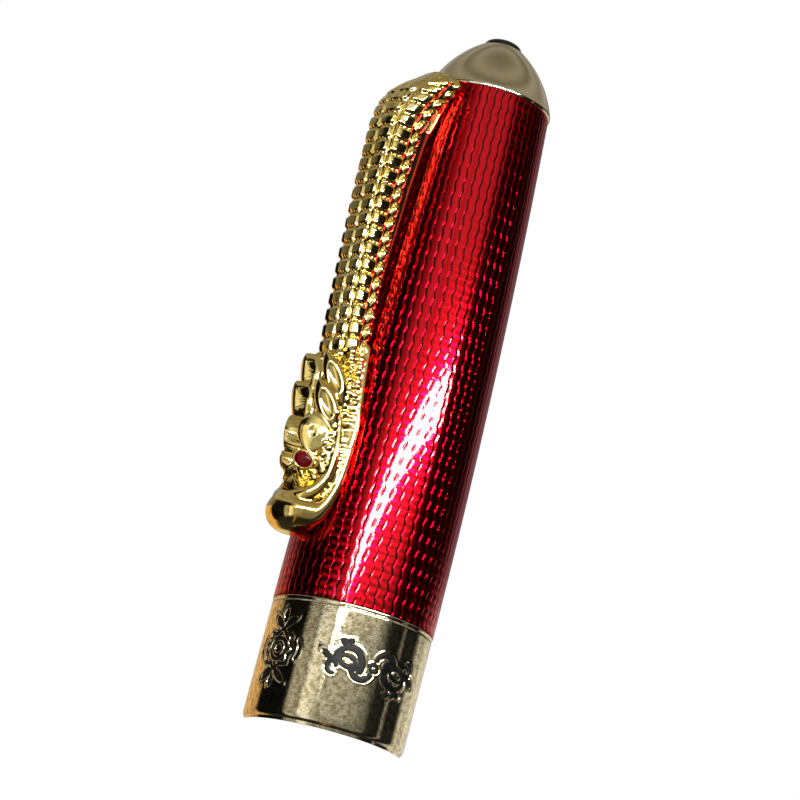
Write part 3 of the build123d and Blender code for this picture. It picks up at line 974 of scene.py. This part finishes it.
def dress_inner_parts():
    """Materials for the CAD nodes whose shape is right as it is."""
    brass = turned_metal("drawn_brass", (0.78, 0.56, 0.26), (0.52, 0.34, 0.14), 0.22)
    steel = turned_metal("spring_steel", (0.56, 0.56, 0.58), (0.36, 0.36, 0.38), 0.2)
    plated = turned_metal("plated_steel", (0.72, 0.71, 0.68), (0.50, 0.49, 0.47), 0.16)
    plastic = moulded_plastic()
    finishes = {
        "cap_tube": brass, "neck_plug": brass, "stud_nut": brass,
        "snap_ring": steel, "clip_spring": steel, "lock_washer": steel,
        "clip_pivot_pin": plated, "finial_stud": plated,
        "mouth_bushing": plastic, "inner_cap": plastic,
    }
    for name, material in finishes.items():
        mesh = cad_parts[name].data
        mesh.materials.clear()
        mesh.materials.append(material)


# ---------- camera, floor and light

CAMERA_PLACE = (0.25442, -0.15898, -0.04351)
CAMERA_RIGHT = (0.562722, 0.788728, 0.247492)
CAMERA_UP = (0.065863, -0.341220, 0.937673)
CAMERA_BACK = (0.824018, -0.511349, -0.243960)
CAMERA_LENS = 153.19
CAMERA_AZIMUTH = math.radians(58)
TABLE_HEIGHT = -0.02


def build_camera():
    """The photograph's viewpoint: near the clip's right side, a little below the mouth, tilted."""
    camera = bpy.data.cameras.new("camera")
    camera.lens = CAMERA_LENS
    camera.sensor_width = 36
    camera.clip_start = 0.01
    camera.clip_end = 20
    rig = new_object("camera", camera)
    axes = Matrix((CAMERA_RIGHT, CAMERA_UP, CAMERA_BACK)).transposed().to_4x4()
    rig.matrix_world = Matrix.Translation(CAMERA_PLACE) @ axes
    bpy.context.scene.camera = rig


def floor_material():
    """Pale matt table top. From underneath it is clear, so that the low camera sees the cap,
    except for a glowing white patch over the mouth: painted light that covers the mouth's dark
    inside so it shows as plain background."""
    material, tree, shader = new_material("pale_table", {"Specular IOR Level": 0.0})
    clouds = noise(tree, 9, 4)
    colours = [(0.3, (0.86, 0.86, 0.855)), (0.7, (0.90, 0.90, 0.895))]
    link(tree, ramp(tree, clouds, colours), shader.inputs["Base Color"])
    link(tree, grey_range(tree, noise(tree, 600, 4), 0.55, 0.75), shader.inputs["Roughness"])
    underneath = add_node(tree, "ShaderNodeNewGeometry").outputs["Backfacing"]
    clear = add_node(tree, "ShaderNodeBsdfTransparent").outputs[0]
    # painted light: a white emission disc under the mouth, seen only from below, that hides the
    # dark inside of the mouth
    inputs = {"Color": (1, 1, 1, 1), "Strength": 1.0}
    white = add_node(tree, "ShaderNodeEmission", inputs).outputs[0]
    place = add_node(tree, "ShaderNodeTexCoord").outputs["Object"]
    reach = add_node(tree, "ShaderNodeVectorMath", {0: place}, operation="LENGTH").outputs["Value"]
    outside = math_node(tree, "GREATER_THAN", reach, (BAND_RADIUS - 0.05) * MM)
    below = add_node(tree, "ShaderNodeMixShader", {0: outside, 1: white, 2: clear}).outputs[0]
    mixed = add_node(tree, "ShaderNodeMixShader", {0: underneath, 1: shader.outputs[0], 2: below})
    link(tree, mixed.outputs[0], tree.nodes["Material Output"].inputs["Surface"])
    return material


def build_floor():
    """A pale round table top just under the cap's mouth."""
    angle = np.linspace(0, 2 * math.pi, 96, endpoint=False)[None, :]
    rings = np.array([800, 400, 160, 60, 20])[:, None]
    points = around(angle, rings, TABLE_HEIGHT).reshape(-1, 3)
    centre = len(points)
    points = np.concatenate([points, [(0, 0, TABLE_HEIGHT)]]) * MM
    count = angle.size
    faces = grid_faces(len(rings), count)
    faces += [(centre - count + j, centre - count + (j + 1) % count, centre) for j in range(count)]
    mesh = bpy.data.meshes.new("table_top")
    mesh.from_pydata(points.tolist(), [], faces)
    mesh.materials.append(floor_material())
    table = new_object("table_top", mesh)
    table.visible_glossy = False


def colour_mix(tree, amount, first, second, blend="MIX"):
    """Two colours mixed."""
    inputs = {0: amount, 6: first, 7: second}
    made = add_node(tree, "ShaderNodeMix", inputs, data_type="RGBA", blend_type=blend)
    return made.outputs[2]


def climb(tree, value, low, high):
    """0 at low and 1 at high."""
    inputs = {"Value": value, "From Min": low, "From Max": high}
    return add_node(tree, "ShaderNodeMapRange", inputs).outputs["Result"]


def build_world():
    """A studio: light and dark walls round the cap, a pale ceiling, and a white backdrop."""
    world = bpy.data.worlds.new("studio")
    bpy.context.scene.world = world
    world.use_nodes = True
    tree = world.node_tree
    tree.nodes.clear()
    way = add_node(tree, "ShaderNodeTexCoord").outputs["Generated"]
    angle, rise = angle_and_height(tree, way)
    turned_angle = math_node(tree, "SUBTRACT", angle, CAMERA_AZIMUTH)
    share = math_node(tree, "MULTIPLY_ADD", turned_angle, 1 / (2 * math.pi), 0.5)
    wrapped = math_node(tree, "FRACT", share)
    light = ramp(tree, wrapped, WALLS_LOW, smooth=False)
    upper = ramp(tree, wrapped, WALLS_HIGH, smooth=False)
    light = colour_mix(tree, climb(tree, rise, 0.175, 0.20), light, upper)
    inputs = {"Vector": way, "Scale": 2.6, "Detail": 2.0}
    clouds = add_node(tree, "ShaderNodeTexNoise", inputs).outputs["Fac"]
    shade = ramp(tree, clouds, [(0.32, grey(0.6)), (0.62, grey(1.0))])
    light = colour_mix(tree, 1.0, light, shade, "MULTIPLY")
    light = colour_mix(tree, climb(tree, rise, 0.42, 0.55), light, ramp(tree, rise, CEILING))
    light = colour_mix(tree, climb(tree, rise, -0.55, -0.75), light, ramp(tree, wrapped, NADIR))
    studio = add_node(tree, "ShaderNodeBackground", {"Color": light, "Strength": 1.0})
    white = add_node(tree, "ShaderNodeBackground", {"Color": (1, 1, 1, 1), "Strength": 1.0})
    seen = add_node(tree, "ShaderNodeLightPath").outputs["Is Camera Ray"]
    inputs = {0: seen, 1: studio.outputs[0], 2: white.outputs[0]}
    both = add_node(tree, "ShaderNodeMixShader", inputs)
    output = add_node(tree, "ShaderNodeOutputWorld")
    link(tree, both.outputs[0], output.inputs["Surface"])


def grey(value, warmth=0.0):
    """A grey, or a warm grey, as a colour."""
    return (value, value * (1 - 0.12 * warmth), value * (1 - 0.35 * warmth))


# In a wall or the floor, a stop's position is the angle from the camera's side, in turns plus a
# half. In the ceiling it is the height. The colour is the light that comes from there.
AMBER = (0.80, 0.50, 0.22)
WALLS_LOW = [
    (0.0, grey(0.8, 0.3)), (0.06, AMBER), (0.165, AMBER), (0.18, grey(0.006)), (0.318, grey(0.008)),
    (0.328, grey(0.5, 0.3)), (0.362, grey(0.5, 0.3)), (0.374, grey(0.25)), (0.384, grey(1.15)),
    (0.415, grey(1.0)), (0.45, grey(0.45)), (0.55, grey(0.34)), (0.635, grey(0.2)),
    (0.66, grey(0.02)), (0.715, grey(0.015)), (0.722, grey(0.4)), (0.727, grey(0.4)),
    (0.734, grey(0.02)), (0.80, grey(0.02)), (0.825, grey(0.8, 0.2)), (1.0, grey(0.8, 0.3)),
]
WALLS_HIGH = [
    (0.0, grey(0.35)), (0.17, grey(0.2)), (0.20, grey(0.01)), (0.385, grey(0.01)),
    (0.425, grey(0.5)), (0.47, grey(0.9)), (0.585, grey(0.95)), (0.625, grey(0.45)),
    (0.655, grey(0.012)), (0.83, grey(0.012)), (0.90, grey(0.25)), (1.0, grey(0.35)),
]
CEILING = [
    (0.45, grey(0.5)), (0.66, grey(0.26, 0.4)), (0.76, grey(0.34, 0.4)), (0.84, grey(0.2, 0.5)),
    (0.92, grey(0.3, 0.5)), (1.0, grey(0.2, 0.5)),
]
NADIR = [
    (0.0, grey(0.03)), (0.44, grey(0.02)), (0.50, (0.30, 0.16, 0.06)), (0.56, grey(0.02)),
    (1.0, grey(0.03)),
]


def area_light(name, place, aim, size, energy, colour=(1, 1, 1), roll=0.0, mirrored=False):
    """A soft rectangular light at a place, pointing at aim. Sizes are in metres.
    Only a mirrored light shows in gold and lacquer; the others light the table and the enamel."""
    light = bpy.data.lights.new(name, "AREA")
    light.shape = "RECTANGLE"
    light.size, light.size_y = size
    light.energy = energy
    light.color = colour
    lamp = new_object(name, light)
    away = Vector(place) - Vector(aim)
    turn = away.to_track_quat("Z", "Y") @ Matrix.Rotation(roll, 3, "Z").to_quaternion()
    lamp.matrix_world = Matrix.Translation(place) @ turn.to_matrix().to_4x4()
    lamp.visible_camera = False
    lamp.visible_glossy = mirrored
    lamp.visible_diffuse = not mirrored


def at_angle(degrees, distance, height):
    """A place round the cap: degrees from the camera's side, positive to its right, in metres."""
    a = CAMERA_AZIMUTH + math.radians(degrees)
    return (distance * math.sin(a), -distance * math.cos(a), height)


TUBE_HEIGHT = 0.067


def build_lights():
    """A tilted tube near the cap, which makes the streak, and large soft lights further off."""
    middle = (0, 0, 0.03)
    area_light("tube", at_angle(15, 0.15, TUBE_HEIGHT), (0, 0, TUBE_HEIGHT), (0.21, 0.012), 0.7,
               roll=math.radians(10), mirrored=True)
    area_light("key", at_angle(5, 0.4, 0.66), middle, (0.35, 0.3), 2.6, (1, 0.98, 0.95))
    area_light("side", at_angle(-60, 0.5, 0.6), middle, (0.25, 0.25), 0.7)
    area_light("back", at_angle(175, 0.6, 0.4), middle, (0.4, 0.3), 1.3)


# ---------- the whole scene

def main():
    """Builds every piece, then the stage."""
    pale_gold = plated_gold("band_gold", (0.90, 0.80, 0.52), (0.50, 0.40, 0.20), 0.07, 0.16,
                            0.005, mottle=2300)
    finial_gold = plated_gold("finial_gold", (0.86, 0.74, 0.47), (0.74, 0.61, 0.36), 0.06, 0.5,
                              0.004)
    clip_gold = plated_gold("clip_gold", (1.0, 0.80, 0.28), (0.93, 0.66, 0.17), 0.06, 0.35, 0.008)
    build_barrel(red_lacquer())
    build_band(pale_gold)
    build_inlays(black_enamel("inlay_enamel", 0.3, (0.003, 0.003, 0.003), 0.15))
    build_finial(finial_gold, black_enamel("jewel_onyx", 0.06, (0.004, 0.004, 0.005), 0.5))
    build_clip(clip_gold)
    build_tang(clip_gold)
    build_eyes(red_glass())
    dress_inner_parts()
    build_camera()
    build_floor()
    build_world()
    build_lights()
    bpy.context.scene.view_settings.view_transform = "Standard"


main()
